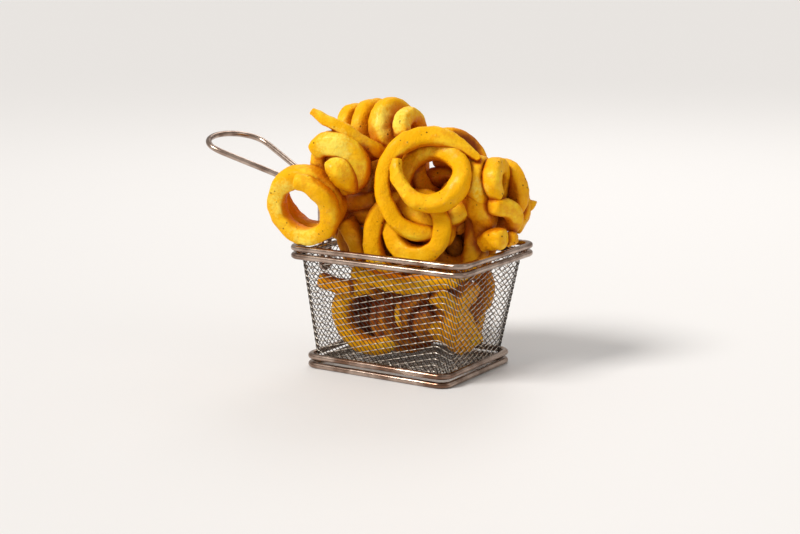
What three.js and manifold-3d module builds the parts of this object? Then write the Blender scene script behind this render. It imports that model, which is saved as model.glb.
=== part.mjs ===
// A portion of curly fries heaped in a small serving basket of woven wire with a loop handle.
// Millimetres, +Z up. The basket is modelled round the middle of its base, long side along X, handle towards -X.
// The whole is then moved so that the origin is the bottom centre of its box.
import * as THREE from "three";
import { mergeVertices } from "three/addons/utils/BufferGeometryUtils.js";
import Module from "manifold-3d";

const wasm = await Module();
wasm.setup();

// Basket wire and rims
const WIRE = 3.2;
const WIRE_SIDES = 8;
const GAP = 0.3;
const CORNER_RADIUS = 6;
const CORNER_STEPS = 3;
const TOP = { long: 105, short: 73 };
const BASE = { long: 86, short: 64.5 };
const LEAN = { x: 2, y: 1.3 }; // the top is bent a little off the middle of the base
const RIM_HEIGHTS = { base_lower: WIRE / 2, base_upper: 6.1, top_lower: 59.6, top_upper: 63.8 };

// Wire mesh panels, as coarse lattices of the true outline
const MESH_THICK = 0.9;
const MESH_BAR = 1.3;
const MESH_INSET_TOP = 3.0; // from the rim's middle line to the mesh
const MESH_INSET_BASE = 2.6;
const FLOOR_HEIGHT = 4.4;
const WALL_FOOT = 5.3;
const WALL_TOP = 62.4;

// Handle: two risers outside the short wall, bent out into a loop with a flattened tip
const HANDLE = {
  spread: 7, // between the risers
  foot: 50, // where the risers join in a small bend
  bend: 87.8, // height at which the risers turn outwards
  bendRadius: 4,
  tilt: 21.1, // degrees above level
  reach: 75.7,
  tipRadius: 20.7,
  tipFlatness: 0.65,
};

const FOOT_STEPS = 3;
const TIP_STEPS = 9;
const BEND_CUT = 0.22; // how far the middle of a bend lies inside its corner, to the bend's radius

// Curly fries
const FRY_SIDES = 6;
const FRY_STEPS = 10; // to a turn
const PIECE_STEPS = 2; // between two places of a short piece
const CORE_SIDES = 12;
const CORE_ROWS = 8;
const FRY_OVERSIZE = 1.05; // a six-sided section is drawn round the true one
const END_LENGTH = 9; // over which a cut end narrows
const END_WIDTH = 0.8;
const SLIVER = 0.15; // shorter edges left by the joins are closed up

const steel = new THREE.MeshStandardMaterial({ color: 0xb9ada4, metalness: 1, roughness: 0.3 });
const meshSteel = new THREE.MeshStandardMaterial({ color: 0x8f8a84, metalness: 1, roughness: 0.42 });
const fried = new THREE.MeshStandardMaterial({ color: 0xf2a81d, metalness: 0, roughness: 0.55 });

const ROUNDING = 1e-6;

const radians = THREE.MathUtils.degToRad;
const at = (x, y, z) => new THREE.Vector3(x, y, z);

// A path whose extrusion steps fall exactly on its points.
class Route extends THREE.Curve {
  constructor(points, closed = false) {
    super();
    this.points = points;
    this.closed = closed;
    this.stretches = points.length - (closed ? 0 : 1);
  }

  corner(i) {
    const n = this.points.length;
    return this.points[((i % n) + n) % n];
  }

  getUtoTmapping(u) {
    return u;
  }

  getPoint(t, target = new THREE.Vector3()) {
    const s = t * this.stretches;
    const i = Math.min(Math.floor(s + ROUNDING), this.stretches - 1);
    return target.lerpVectors(this.corner(i), this.corner(i + 1), s - i);
  }

  getTangent(t, target = new THREE.Vector3()) {
    const i = Math.round(t * this.stretches);
    const before = this.closed ? i - 1 : Math.max(i - 1, 0);
    const after = this.closed ? i + 1 : Math.min(i + 1, this.stretches);
    const here = this.corner(i);
    const into = here.clone().sub(this.corner(before)).normalize();
    const out = this.corner(after).clone().sub(here).normalize();
    return target.addVectors(into, out).normalize();
  }
}

function polygon(sides, radius) {
  const shape = new THREE.Shape();
  for (let i = 0; i < sides; i++) {
    const angle = (2 * Math.PI * (i + 0.5)) / sides;
    const [x, y] = [radius * Math.cos(angle), radius * Math.sin(angle)];
    if (i) shape.lineTo(x, y);
    else shape.moveTo(x, y);
  }
  return shape;
}

// A wire bent along a route, its flats at the true wire diameter. A closed route has no end caps.
function wire(points, closed) {
  const route = new Route(points, closed);
  const section = polygon(WIRE_SIDES, WIRE / 2 / Math.cos(Math.PI / WIRE_SIDES));
  const tube = new THREE.ExtrudeGeometry(section, { steps: route.stretches, extrudePath: route });
  if (!closed) return tube;
  const sides = tube.groups[1];
  const all = tube.getAttribute("position").array;
  const kept = all.slice(3 * sides.start, 3 * (sides.start + sides.count));
  return new THREE.BufferGeometry().setAttribute("position", new THREE.BufferAttribute(kept, 3));
}

function rimPoints({ long, short }, height, shiftX, shiftY) {
  const points = [];
  const quarter = Math.PI / 2;
  for (let corner = 0; corner < 4; corner++) {
    const signX = corner === 0 || corner === 3 ? 1 : -1;
    const signY = corner < 2 ? 1 : -1;
    for (let step = 0; step <= CORNER_STEPS; step++) {
      const angle = corner * quarter + (step / CORNER_STEPS) * quarter;
      const x = signX * (long / 2 - CORNER_RADIUS) + CORNER_RADIUS * Math.cos(angle);
      const y = signY * (short / 2 - CORNER_RADIUS) + CORNER_RADIUS * Math.sin(angle);
      points.push(at(x + shiftX, y + shiftY, height));
    }
  }
  return points;
}

// Half of the handle, from the small bend at its foot to the middle of its tip; the other half mirrors it.
function handlePoints() {
  const { spread, foot, bend, bendRadius, tilt, reach, tipRadius, tipFlatness } = HANDLE;
  const half = spread / 2;
  const wallX = LEAN.x - TOP.long / 2 - WIRE - GAP;
  const out = at(-Math.cos(radians(tilt)), 0, Math.sin(radians(tilt)));
  const bendPoint = at(wallX, half, bend);
  const points = [];
  for (let i = 1; i <= FOOT_STEPS; i++) {
    const angle = (i / FOOT_STEPS) * (Math.PI / 2);
    points.push(at(wallX, half * Math.sin(angle), foot - half * Math.cos(angle)));
  }
  points.push(at(wallX, half, bend - bendRadius));
  points.push(bendPoint.clone().add(out.clone().sub(at(0, 0, 1)).multiplyScalar(bendRadius * BEND_CUT)));
  points.push(bendPoint.clone().addScaledVector(out, bendRadius));
  // The leg runs straight until it touches the tip's arc.
  const centre = reach - tipRadius * tipFlatness;
  const distance = Math.hypot(centre, half);
  const touch = Math.PI - Math.atan2(half, centre) - Math.acos(tipRadius / distance);
  for (let i = 0; i < TIP_STEPS; i++) {
    const angle = touch * (1 - i / TIP_STEPS);
    const flat = Math.cos(angle) > 0 ? tipFlatness : 1;
    const along = centre + tipRadius * Math.cos(angle) * flat;
    const point = at(wallX, 0, bend).addScaledVector(out, along);
    points.push(point.setY(tipRadius * Math.sin(angle)));
  }
  return { points, footMiddle: at(wallX, 0, foot - half), tipMiddle: at(wallX, 0, bend).addScaledVector(out, reach) };
}

function handleLoop() {
  const { points, footMiddle, tipMiddle } = handlePoints();
  const mirrored = points.map((p) => at(p.x, -p.y, p.z)).reverse();
  const loop = [footMiddle, ...points, tipMiddle, ...mirrored];
  return loop.map((p) => p.clone().add(at(0, LEAN.y, 0)));
}

function solidOf(geometry) {
  const loose = geometry.index ? geometry.toNonIndexed() : geometry;
  const bare = new THREE.BufferGeometry().setAttribute("position", loose.getAttribute("position"));
  const merged = mergeVertices(bare, 1e-3);
  const vertProperties = merged.getAttribute("position").array;
  const triVerts = new Uint32Array(merged.index.array);
  return new wasm.Manifold(new wasm.Mesh({ numProp: 3, vertProperties, triVerts }));
}

function geometryOf(solid) {
  const { vertProperties, triVerts } = solid.getMesh();
  const geometry = new THREE.BufferGeometry();
  geometry.setAttribute("position", new THREE.BufferAttribute(vertProperties, 3));
  geometry.setIndex(new THREE.BufferAttribute(triVerts, 1));
  const faceted = geometry.toNonIndexed();
  faceted.computeVertexNormals();
  return faceted;
}

// A flat lattice between four corners, given from the foot left round to the top left, seen from outside.
function lattice(corners, columns, rows) {
  const [a, b, , d] = corners;
  const u = b.clone().sub(a).normalize();
  const n = u.clone().cross(d.clone().sub(a)).normalize();
  const v = n.clone().cross(u);
  const flat = (p) => new THREE.Vector2(p.clone().sub(a).dot(u), p.clone().sub(a).dot(v));
  const [fa, fb, fc, fd] = corners.map(flat);
  const spot = (s, t) => fa.clone().lerp(fb, s).lerp(fd.clone().lerp(fc, s), t);
  const plate = (outline, depth) => {
    const sheet = new THREE.ExtrudeGeometry(new THREE.Shape(outline), { depth, bevelEnabled: false });
    return solidOf(sheet.translate(0, 0, -depth / 2));
  };
  const barS = MESH_BAR / fa.distanceTo(fb);
  const barT = MESH_BAR / fa.distanceTo(fd);
  const pitchS = (1 - barS) / columns;
  const pitchT = (1 - barT) / rows;
  let panel = plate([fa, fb, fc, fd], MESH_THICK);
  for (let i = 0; i < columns; i++) {
    for (let j = 0; j < rows; j++) {
      const [s0, s1] = [barS + i * pitchS, (i + 1) * pitchS];
      const [t0, t1] = [barT + j * pitchT, (j + 1) * pitchT];
      const opening = [spot(s0, t0), spot(s1, t0), spot(s1, t1), spot(s0, t1)];
      panel = panel.subtract(plate(opening, 3 * MESH_THICK));
    }
  }
  return geometryOf(panel).applyMatrix4(new THREE.Matrix4().makeBasis(u, v, n).setPosition(a));
}

// The four corners of the mesh at a height, from the front left counterclockwise.
function meshRing(height, inward = 0) {
  const k = (height - WALL_FOOT) / (WALL_TOP - WALL_FOOT);
  const mix = THREE.MathUtils.lerp;
  const halfLong = mix(BASE.long / 2 - MESH_INSET_BASE, TOP.long / 2 - MESH_INSET_TOP, k) - inward;
  const halfShort = mix(BASE.short / 2 - MESH_INSET_BASE, TOP.short / 2 - MESH_INSET_TOP, k) - inward;
  const signs = [[-1, -1], [1, -1], [1, 1], [-1, 1]];
  return signs.map(([x, y]) => at(x * halfLong + k * LEAN.x, y * halfShort + k * LEAN.y, height));
}

// A fry along a route: a six-sided tube whose half thickness follows the distance along it.
function fry(points, halfAt) {
  const route = new Route(points);
  const section = polygon(FRY_SIDES, 1);
  const tube = new THREE.ExtrudeGeometry(section, { steps: route.stretches, extrudePath: route });
  const lengths = [0];
  for (let i = 1; i < points.length; i++) lengths.push(lengths[i - 1] + points[i].distanceTo(points[i - 1]));
  const total = lengths.at(-1);
  const position = tube.getAttribute("position");
  const vertex = new THREE.Vector3();
  for (let i = 0; i < position.count; i++) {
    vertex.fromBufferAttribute(position, i);
    let near = 0;
    points.forEach((p, k) => {
      if (p.distanceTo(vertex) < points[near].distanceTo(vertex)) near = k;
    });
    const size = halfAt(lengths[near], total) * FRY_OVERSIZE;
    vertex.sub(points[near]).multiplyScalar(size).add(points[near]);
    position.setXYZ(i, vertex.x, vertex.y, vertex.z);
  }
  return solidOf(tube);
}

// A value read off a list whose entries are spread evenly from 0 to 1.
function along(list, t) {
  const s = t * (list.length - 1);
  const i = Math.min(Math.floor(s), list.length - 2);
  return THREE.MathUtils.lerp(list[i], list[i + 1], s - i);
}

// A curl is a helix about an axis that points out of the heap: heading round Z from +X, and pitch above level.
// The strand starts at the outer end, at the angle given by phase, counted from the axis' left hand upwards.
function curl({ place, heading, pitch, radii, turns, lead, phase, hand, halves }) {
  const [h, p] = [radians(heading), radians(pitch)];
  const axis = at(Math.cos(h) * Math.cos(p), Math.sin(h) * Math.cos(p), Math.sin(p));
  const side = at(-Math.sin(h), Math.cos(h), 0);
  const rise = axis.clone().cross(side);
  const steps = Math.round(turns * FRY_STEPS);
  const points = [];
  for (let i = 0; i <= steps; i++) {
    const t = i / steps;
    const angle = radians(phase) + hand * 2 * Math.PI * turns * t;
    const radius = along(radii, t);
    const point = at(...place).addScaledVector(axis, (0.5 - t) * lead * turns);
    point.addScaledVector(side, radius * Math.cos(angle)).addScaledVector(rise, radius * Math.sin(angle));
    points.push(point);
  }
  const fade = (distance) => THREE.MathUtils.lerp(END_WIDTH, 1, Math.min(1, distance / END_LENGTH));
  return fry(points, (s, total) => along(halves, s / total) * fade(s) * fade(total - s));
}

// A short piece is a smooth strand through a few places, with its half thickness at each.
function piece({ via, halves }) {
  const curve = new THREE.CatmullRomCurve3(via.map((p) => at(...p)), false, "catmullrom", 0.5);
  const points = curve.getSpacedPoints(PIECE_STEPS * (via.length - 1));
  return fry(points, (s, total) => along(halves, s / total));
}

// What a curl has unless it says otherwise
const CURL = { pitch: 0, lead: 9.5, hand: 1, halves: [5.2, 5.2] };

const CURLS = [
  // Left ring, leaning on the corner of the rim
  {
    place: [-39.5, -34.6, 87.5], heading: -82, pitch: -18, radii: [19.5, 16.4, 16, 16, 16.2, 16, 15.6],
    turns: 1.8, lead: 12, phase: 42, hand: -1, halves: [3.8, 4.9, 4.9, 4.9, 4.9, 4.9, 4.9],
  },
  // Large band round the front, over the inner ring and in front of the small ring's left side
  {
    place: [21.3, -12.9, 98.6], heading: -52, pitch: 18, radii: [28, 24.6, 24.8, 24.7, 23.8, 23.2, 22.9, 24, 24, 23.5],
    turns: 0.75, lead: 17, phase: 25, halves: [2.8, 4.2, 5.7, 5.6, 5, 4.6, 4.5, 4.6, 4.6, 4.2],
  },
  // Ring inside the band
  {
    place: [21.8, -7, 99], heading: -77, pitch: 24,
    radii: [12.6, 13.9, 14.8, 16.8, 16.2, 17, 18.5, 18.5, 18, 17.5, 17, 17],
    turns: 1.75, lead: 17, phase: 200, halves: [4.4, 5.2, 5.2, 5.2, 5.2, 5.2],
  },
  // Wide ring below, sunk into the basket
  { place: [14, -8.5, 70.5], heading: -61, pitch: 6, radii: [24.5, 25, 27.5, 28], turns: 0.86, lead: 8, phase: 115 },
  // Small ring standing against the front rim
  {
    place: [15.8, -13.5, 77.2], heading: -79, pitch: 10, radii: [14.4, 14.4],
    turns: 1.2, lead: 6, phase: 40, hand: -1,
  },
  // Long coil on top of the heap
  {
    place: [-12.7, 1.2, 123], heading: -15, pitch: 6, radii: [7, 8, 11, 12, 12, 11.5, 11],
    turns: 3.7, lead: 13.6, phase: 290, hand: -1, halves: [4.2, 4.6, 5.6, 5.4, 5, 5],
  },
  // Knot at the upper left
  {
    place: [-21.5, -28.5, 108], heading: -77, pitch: -8, radii: [14.2, 12.2, 11.4, 11.4, 10.8, 13, 13],
    turns: 1.12, lead: 9, phase: 140, hand: -1, halves: [6.6, 7, 6.2, 5.4, 5, 5, 4.6],
  },
  // Curl behind the front band
  { place: [18.1, 9.5, 104.8], heading: -45, pitch: 10, radii: [15.4, 15.4], turns: 1.3, phase: -60 },
  // Short coil on the right, lying towards the right wall
  {
    place: [43.4, 8.2, 98.6], heading: 2, pitch: 4, radii: [8, 9.6, 10, 10],
    turns: 1.9, lead: 9.6, phase: 222, hand: -1, halves: [4.8, 5, 5],
  },
  // Ring behind it
  {
    place: [43, 24, 92.5], heading: -101, radii: [12.6, 12.6], turns: 1.25, lead: 8, phase: 200, halves: [4.8, 4.8],
  },
  // Ring behind the left ring
  { place: [-16.5, -8.5, 66.5], heading: -87, radii: [14, 14], turns: 1.3, lead: 9, phase: 30 },
  // Inside the basket, against the front wall and the right wall
  { place: [-12, -17, 28.5], heading: -90, radii: [17, 16.5], turns: 0.9, lead: 9, phase: 75 },
  { place: [31.5, 2, 30], heading: 0, radii: [14, 14], turns: 1.4, lead: 9, phase: 80 },
  // Back and far sides
  { place: [-27, 15.5, 81], heading: 93, pitch: 10, radii: [14, 14], turns: 1.6, phase: 20 },
  { place: [4, 16, 81], heading: 107, pitch: 15, radii: [15, 15], turns: 1.8, phase: 100 },
  { place: [31, 17, 78.5], heading: 120, pitch: 10, radii: [13, 13.5], turns: 1.6, phase: 200, hand: -1 },
  { place: [-14, 13, 100], heading: 103, pitch: 35, radii: [9, 12, 12.5], turns: 2.2, lead: 10, phase: 10 },
  { place: [15, 17, 94], heading: 128, pitch: 35, radii: [12, 12], turns: 1.6, phase: 140 },
  { place: [-36, 0, 80], heading: -172, pitch: 5, radii: [12.5, 12.5], turns: 1.7, lead: 9, phase: 140, hand: -1 },
  { place: [-8, 14, 32], heading: 108, radii: [16, 16], turns: 1.3, lead: 9, phase: 40 },
  { place: [24, 14, 42], heading: 123, radii: [13, 13], turns: 1.4, lead: 9, phase: 240 },
];

const PIECES = [
  // Thin strand over the knot
  {
    via: [[-32, -37.6, 136], [-22.1, -34.3, 130.2], [-14.2, -30.3, 125.2], [-7.9, -23.2, 118.7], [-3.6, -14.3, 113.4]],
    halves: [2, 3.1, 3.4, 3.4, 3.4],
  },
  // Tongue in the middle of the knot
  {
    via: [[-14, -27.4, 97.8], [-15, -32.2, 102.4], [-17.4, -36, 107], [-22, -35.6, 108.6]],
    halves: [4.8, 6.2, 6.8, 4.8],
  },
  // Pointed tip on the right, and the band under it
  { via: [[46.2, 26.8, 86.3], [50.6, 29.6, 84.4], [54.9, 32.5, 85.4], [57.9, 34.4, 87]], halves: [5, 4.6, 3.2, 0.8] },
  { via: [[50.1, 29.3, 91], [51.8, 30.5, 84.7], [51.1, 28.8, 79.1], [49.5, 25.3, 73.7]], halves: [4.2, 4.6, 4.6, 4.4] },
  // Cut pieces over the right rim
  {
    via: [[52.2, -0.5, 88.6], [53.7, 4.5, 88.2], [56.1, 9.6, 85.8], [56.8, 12.6, 80.8], [55, 13.4, 75.5]],
    halves: [4.4, 4.9, 5.1, 4.5, 3.4],
  },
  { via: [[45.2, 2.1, 69.6], [51.3, 0.8, 72], [56.8, 0.2, 72.6]], halves: [5, 5.8, 5.2] },
  { via: [[55, 8.5, 70.6], [57.5, 8.6, 71.6], [60, 9, 72]], halves: [3.4, 3.8, 3.4] },
  { via: [[36.9, 0.3, 92.9], [41.7, 1.1, 88], [43.6, 4.7, 81.5], [42.1, 7.3, 70.6]], halves: [5.4, 6.6, 6, 5] },
  // Between the left ring and the front band
  { via: [[-31.5, -11, 84.3], [-22.3, -12.3, 85.8], [-12.7, -10.7, 88.4]], halves: [5, 5, 5] },
  // Inside, along the front wall and down the right wall
  {
    via: [[-14.5, -27, 53.6], [-1.8, -25, 50.4], [12.4, -22.8, 48.7], [25.9, -18.4, 49.7], [37.5, -13.4, 52.6]],
    halves: [4.6, 4.8, 4.6, 4.6, 4.4],
  },
  { via: [[-37, -25.4, 46.6], [-27.6, -25.4, 44.4], [-18.3, -25, 44.1]], halves: [4.4, 4.4, 4.4] },
  { via: [[29.5, -18.5, 44.1], [34.5, -12.5, 37.2], [37, -4.6, 28.6], [36.6, 5, 17.1]], halves: [5.2, 5.2, 5.2, 5] },
  { via: [[21.5, -17, 31.1], [27.9, -12.8, 25.8], [31.2, -5.2, 19.5], [32, 3.1, 14]], halves: [4.8, 5.2, 5.2, 5] },
];

// The buried middle of the heap, as two overlapping ellipsoids
const CORES = [
  { middle: [1, -1, 47], reach: [32, 20, 38] },
  { middle: [-7, -1, 95], reach: [18, 15, 19] },
];

function core({ middle, reach }) {
  const ball = new THREE.SphereGeometry(1, CORE_SIDES, CORE_ROWS).rotateX(Math.PI / 2);
  return solidOf(ball.scale(...reach).translate(...middle));
}

// Everything fused, without loose scraps and slivers, and with its sealed hollows filled
function fries() {
  const solids = [...CORES.map(core), ...CURLS.map((c) => curl({ ...CURL, ...c })), ...PIECES.map(piece)];
  const fused = solids.reduce((whole, solid) => whole.add(solid)).asOriginal().setTolerance(SLIVER);
  const bodies = fused.decompose().sort((a, b) => b.volume() - a.volume());
  return geometryOf(bodies[0]);
}

const basket = new THREE.Group();

function add(name, geometry, material) {
  const mesh = new THREE.Mesh(geometry, material);
  mesh.name = name;
  basket.add(mesh);
}

for (const [name, height] of Object.entries(RIM_HEIGHTS)) {
  const onTop = name.startsWith("top");
  const lean = onTop ? LEAN : { x: 0, y: 0 };
  add("rim_" + name, wire(rimPoints(onTop ? TOP : BASE, height, lean.x, lean.y), true), steel);
}
add("handle", wire(handleLoop(), true), steel);

const foot = meshRing(WALL_FOOT);
const top = meshRing(WALL_TOP);
const WALLS = { front: [0, 1], right: [1, 2], back: [2, 3], left: [3, 0] };
const LATTICE = { front: [8, 4], right: [5, 4], back: [8, 4], left: [5, 4], floor: [6, 4] };
const SIDE_MARGIN = 2.6; // each wall stops short of the round corner
for (const [name, [i, j]] of Object.entries(WALLS)) {
  const trim = (a, b) => a.clone().add(b.clone().sub(a).setLength(SIDE_MARGIN));
  const corners = [trim(foot[i], foot[j]), trim(foot[j], foot[i]), trim(top[j], top[i]), trim(top[i], top[j])];
  add("mesh_" + name, lattice(corners, ...LATTICE[name]), meshSteel);
}
add("mesh_floor", lattice(meshRing(FLOOR_HEIGHT, 1), ...LATTICE.floor), meshSteel);
add("curly_fries", fries(), fried);

// Moves the whole so that the bottom centre of its box is the origin.
const box = new THREE.Box3().setFromObject(basket, true);
const centre = box.getCenter(at(0, 0, 0));
basket.position.set(-centre.x, -centre.y, -box.min.z);
const portion = new THREE.Group();
portion.add(basket);

export default portion;
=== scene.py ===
"""Curly fries heaped in a small serving basket of woven wire with a long loop handle.

Lengths are millimetres in the basket's own frame: the origin is the middle of its base, its long side lies
along X and its handle points towards -X. place() turns them into metres in the shared frame.
"""
import math
import random

import bpy
import numpy as np
from mathutils import Matrix, Vector


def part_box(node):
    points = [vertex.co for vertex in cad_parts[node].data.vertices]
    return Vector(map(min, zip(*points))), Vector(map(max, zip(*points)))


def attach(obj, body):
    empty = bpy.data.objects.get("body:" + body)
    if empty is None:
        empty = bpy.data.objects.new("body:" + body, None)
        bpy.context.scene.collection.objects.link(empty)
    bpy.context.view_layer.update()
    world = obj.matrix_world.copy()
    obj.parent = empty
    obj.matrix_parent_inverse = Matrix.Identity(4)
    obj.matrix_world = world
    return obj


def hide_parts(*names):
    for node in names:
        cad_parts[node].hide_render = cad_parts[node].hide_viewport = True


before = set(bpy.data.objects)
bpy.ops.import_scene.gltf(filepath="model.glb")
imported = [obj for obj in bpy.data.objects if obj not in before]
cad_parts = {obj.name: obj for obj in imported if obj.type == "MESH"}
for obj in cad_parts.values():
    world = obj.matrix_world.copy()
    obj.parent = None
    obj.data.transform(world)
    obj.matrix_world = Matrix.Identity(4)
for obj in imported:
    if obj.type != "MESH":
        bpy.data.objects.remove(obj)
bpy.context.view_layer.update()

MM = 0.001
TAU = 2 * math.pi
WELD_REACH = 0.005  # corners nearer to each other than this are made one

# The lowest rim stands in the middle of the basket's own frame.
rim_low, rim_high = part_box("rim_base_lower")
BASKET = Vector(((rim_low.x + rim_high.x) / 2, (rim_low.y + rim_high.y) / 2, 0.0))

# Basket wire, rims and handle
WIRE = 3.2
GAP = 0.3
TOP_LONG, TOP_SHORT = 105.0, 73.0
BASE_LONG, BASE_SHORT = 86.0, 64.5
LEAN_X, LEAN_Y = 2.0, 1.3  # the top is bent a little off the middle of the base
CORNER_RADIUS = 6.0
CORNER_STEPS = 8
WIRE_ROUNDING = 6
RIM_HEIGHTS = {"base_lower": 1.6, "base_upper": 6.1, "top_lower": 59.6, "top_upper": 63.8}
HANDLE_SPREAD = 7.0
HANDLE_FOOT = 50.0
HANDLE_BEND = 87.8
HANDLE_TILT = math.radians(21.1)
HANDLE_REACH = 75.7
TIP_RADIUS = 20.7
TIP_FLATNESS = 0.65
FOOT_STEPS = 8
BEND_RADIUS = 4.5
BEND_STEPS = 6
TIP_STEPS = 26

# Woven wire of the walls and the floor
WEAVE_WIRE = 0.45
WEAVE_PITCH = 3.2
WALL_FOOT = 5.3
WALL_TOP = 62.4
WALL_INSET_TOP = 3.0
WALL_INSET_BASE = 2.6
WALL_CORNER = 6.0
FLOOR_HEIGHT = 4.4
WEAVE_ROUNDING = 1
WALL_PARTS = 8  # four sides and four corners
WALL_STEPS = 1601  # places round the wall at which the wires' heights are worked out
CORNER_BLEND = 41  # steps over which a wire turns from one slope to the next
# Painted shade of the falling wires and the floor wires, in place of the darker surroundings that they
# reflect
RISING_SHADE, FALLING_SHADE, FLOOR_SHADE = 0.0, 1.0, 0.6

# Fries
RINGS_PER_TURN = 38
STRAND_STEPS = 7
SECTION_SIDES = 16
SECTION_POWER = 3.1  # 2 is a circle and more is squarer
SECTION_FIT = 0.97
END_LENGTH = 9.0  # over which a cut end narrows
END_WIDTH = 0.8
END_WEAR = ((0.2, 0.85), (0.34, 0.5))  # reach and width of the last rings, to the half thickness
THICKNESS_DRIFT = (9, 0.085)  # rings from one random value to the next, and their size
TURN_DRIFT = (14, 0.35)
LUMP_SIZE, LUMP_HEIGHT = 11, 2.6
DIMPLE_SIZE, DIMPLE_HEIGHT = 4, 1.1
LUMP_DETAIL = 2  # of the textures of the lumps and the dimples
CORE_LUMP_HEIGHT = 9
CORE_FINENESS = 5
# Painted shade reaches this far into the crevices between fries
CREVICE_REACH = 4.0 * MM  # a surface nearer than this to another fry is darker
OWN_RINGS = 14  # rings of the same fry that are too near along it to count
RING_STEP = 2.6 * MM  # usual distance between rings
FAR = 1.0  # a distance in metres that is out of every fry's reach


def place(x, y, z):
    """A place in the basket's frame as metres in the shared frame."""
    return BASKET + Vector((x, y, z)) * MM


def only(obj):
    """Leaves this object alone selected and active."""
    bpy.ops.object.select_all(action="DESELECT")
    obj.select_set(True)
    bpy.context.view_layer.objects.active = obj


def apply_modifiers(obj):
    """Applies its modifiers in their order."""
    only(obj)
    for modifier in list(obj.modifiers):
        bpy.ops.object.modifier_apply(modifier=modifier.name)


def weld(obj):
    """Joins the caps of tubes to their sides and turns all faces outwards."""
    only(obj)
    bpy.ops.object.mode_set(mode="EDIT")
    bpy.ops.mesh.select_all(action="SELECT")
    bpy.ops.mesh.remove_doubles(threshold=WELD_REACH * MM)
    bpy.ops.mesh.normals_make_consistent(inside=False)
    bpy.ops.object.mode_set(mode="OBJECT")


def new_curve(name, runs, closed=False):
    """A curve object with one polyline for each run of points, which are in metres."""
    data = bpy.data.curves.new(name, "CURVE")
    data.dimensions = "3D"
    for run in runs:
        spline = data.splines.new("POLY")
        spline.points.add(len(run) - 1)
        for point, spot in zip(spline.points, run):
            point.co = (*spot, 1.0)
        spline.use_cyclic_u = closed
        spline.use_smooth = True
    obj = bpy.data.objects.new(name, data)
    bpy.context.collection.objects.link(obj)
    return obj


def round_wire(name, runs, diameter, closed=False, resolution=WIRE_ROUNDING):
    """Round wire along each run, made a mesh."""
    obj = new_curve(name, runs, closed)
    obj.data.bevel_depth = diameter / 2 * MM
    obj.data.bevel_resolution = resolution
    obj.data.use_fill_caps = not closed
    only(obj)
    bpy.ops.object.convert(target="MESH")
    piece = bpy.context.object
    weld(piece)
    return piece


def store(piece, name, values):
    """Keeps one value for each corner of a mesh, for its finish to read."""
    attribute = piece.data.attributes.new(name, "FLOAT", "POINT")
    attribute.data.foreach_set("value", np.asarray(values, dtype=np.float32))


def smooth_step(x):
    x = min(max(x, 0.0), 1.0)
    return x * x * (3 - 2 * x)


def along(values, t):
    """A value read off a list whose entries are spread evenly from 0 to 1."""
    s = t * (len(values) - 1)
    i = min(int(s), len(values) - 2)
    return values[i] + (values[i + 1] - values[i]) * (s - i)


# Shader expressions
class Socket:
    """An output socket of a finish. Arithmetic on it adds Math nodes."""

    def __init__(self, finish, socket):
        self.finish = finish
        self.socket = socket

    def math(self, operation, *operands):
        return self.finish.node("Math", {"operation": operation}, dict(enumerate(operands)))

    def __add__(self, other):
        return self.math("ADD", self, other)

    def __radd__(self, other):
        return self.math("ADD", other, self)

    def __sub__(self, other):
        return self.math("SUBTRACT", self, other)

    def __rsub__(self, other):
        return self.math("SUBTRACT", other, self)

    def __mul__(self, other):
        return self.math("MULTIPLY", self, other)

    def __rmul__(self, other):
        return self.math("MULTIPLY", other, self)

    def ramp(self, low, high):
        """0 below low, 1 above high and smooth between them."""
        settings = {"interpolation_type": "SMOOTHSTEP"}
        sockets = {"Value": self, "From Min": low, "From Max": high}
        return self.finish.node("MapRange", settings, sockets)


class Finish:
    """A material with a Principled shader. node() adds any other node."""

    def __init__(self, name, **surface):
        self.material = bpy.data.materials.new(name)
        self.material.use_nodes = True
        self.tree = self.material.node_tree
        self.shader = self.tree.nodes["Principled BSDF"]
        self.set(**surface)

    def set(self, **surface):
        for key, value in surface.items():
            self.join(value, self.shader.inputs[key.replace("_", " ")])

    def join(self, value, entry):
        if isinstance(value, Socket):
            self.tree.links.new(value.socket, entry)
        else:
            entry.default_value = value

    def node(self, kind, settings=None, sockets=None, output=0):
        """Adds a node: its settings first, then the values or links of its sockets."""
        made = self.tree.nodes.new("ShaderNode" + kind)
        for key, value in (settings or {}).items():
            setattr(made, key, value)
        for key, value in (sockets or {}).items():
            self.join(value, made.inputs[key])
        return Socket(self, made.outputs[output])

    def place(self):
        return self.node("TexCoord", output="Object")

    def noise(self, scale, detail=2.0, roughness=0.5, seed=0.0):
        settings = {"noise_dimensions": "4D"}
        sockets = {
            "Vector": self.place(), "W": seed,
            "Scale": scale, "Detail": detail, "Roughness": roughness,
        }
        return self.node("TexNoise", settings, sockets)

    def attribute(self, name):
        return self.node("Attribute", {"attribute_name": name}, output="Fac")

    def mix(self, factor, first, second):
        """A mix of two colours, by the socket numbers that a Mix node has for them."""
        return self.node("Mix", {"data_type": "RGBA"}, {0: factor, 6: first, 7: second}, output=2)

    def bump(self, height, distance, strength):
        return self.node("Bump", None, {"Height": height, "Distance": distance, "Strength": strength})


def rgb(red, green, blue):
    """A colour from its 0-255 screen values."""
    parts = [v / 255 for v in (red, green, blue)]
    return (*[v / 12.92 if v < 0.04045 else ((v + 0.055) / 1.055) ** 2.4 for v in parts], 1.0)


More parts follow.
